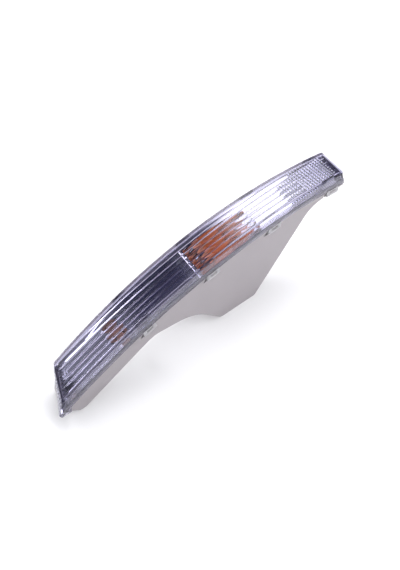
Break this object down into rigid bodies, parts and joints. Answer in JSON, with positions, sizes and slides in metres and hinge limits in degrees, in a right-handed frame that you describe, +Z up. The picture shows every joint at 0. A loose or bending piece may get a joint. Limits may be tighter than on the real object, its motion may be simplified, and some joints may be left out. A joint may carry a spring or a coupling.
{
  "type": "side repeater lamp",
  "caption": "Arched strip lamp with a clear fluted lens over a grey housing, an amber-bulb indicator chamber above a deep bulge and a side repeater chamber at the pointed end",
  "frame": {"origin": "bottom centre of the bounding box, with the lamp lying on its back", "axes": "+X along the lamp from the pointed end to the square end, +Y from the flat long side to the bowed long side, +Z up out through the lens face"},
  "size_m": [0.4125, 0.0474, 0.1243],
  "materials": {
    "clear_lens": "polished",
    "grey_housing": "satin",
    "reflector_metal": "polished",
    "black_rubber": "matte",
    "grey_sealant": "matte",
    "zinc_steel": "satin",
    "insert_brass": "satin",
    "black_holder": "matte",
    "tinned_brass": "satin",
    "bulb_cap_metal": "satin",
    "black_glass": "gloss",
    "solder": "satin",
    "amber_glass": "gloss",
    "clear_glass": "gloss",
    "filament_wire": "satin"
  },
  "bodies": {
    "lamp": {"lens": "clear_lens", "lens_seal": "grey_sealant", "housing": "grey_housing", "indicator_reflector": "reflector_metal", "marker_reflector": "reflector_metal", "reflector_screws": "zinc_steel", "mounting_inserts": "insert_brass", "vent_cap": "black_rubber"},
    "indicator_unit": {"indicator_holder": "black_holder", "indicator_holder_seal": "black_rubber", "indicator_socket_sleeve": "tinned_brass", "indicator_spring_contact": "tinned_brass", "indicator_terminals": "tinned_brass", "indicator_bulb_cap": "bulb_cap_metal", "indicator_bulb_insulator": "black_glass", "indicator_bulb_contact": "solder", "indicator_bulb_glass": "amber_glass", "indicator_bulb_stem": "clear_glass", "indicator_filament": "filament_wire"},
    "marker_unit": {"marker_holder": "black_holder", "marker_holder_seal": "black_rubber", "marker_terminals": "tinned_brass", "marker_bulb_glass": "amber_glass", "marker_filament": "filament_wire"}
  },
  "joints": [
    {"name": "indicator_twist", "type": "hinge", "parent": "lamp", "child": "indicator_unit", "pos_m": [0.04525, 0, 0.042], "axis": [0, 0, -1], "range_deg": [0, 40]},
    {"name": "marker_twist", "type": "hinge", "parent": "lamp", "child": "marker_unit", "pos_m": [-0.1, 0, 0.03513], "axis": [0.4383, 0, -0.8989], "range_deg": [0, 40]}
  ]
}
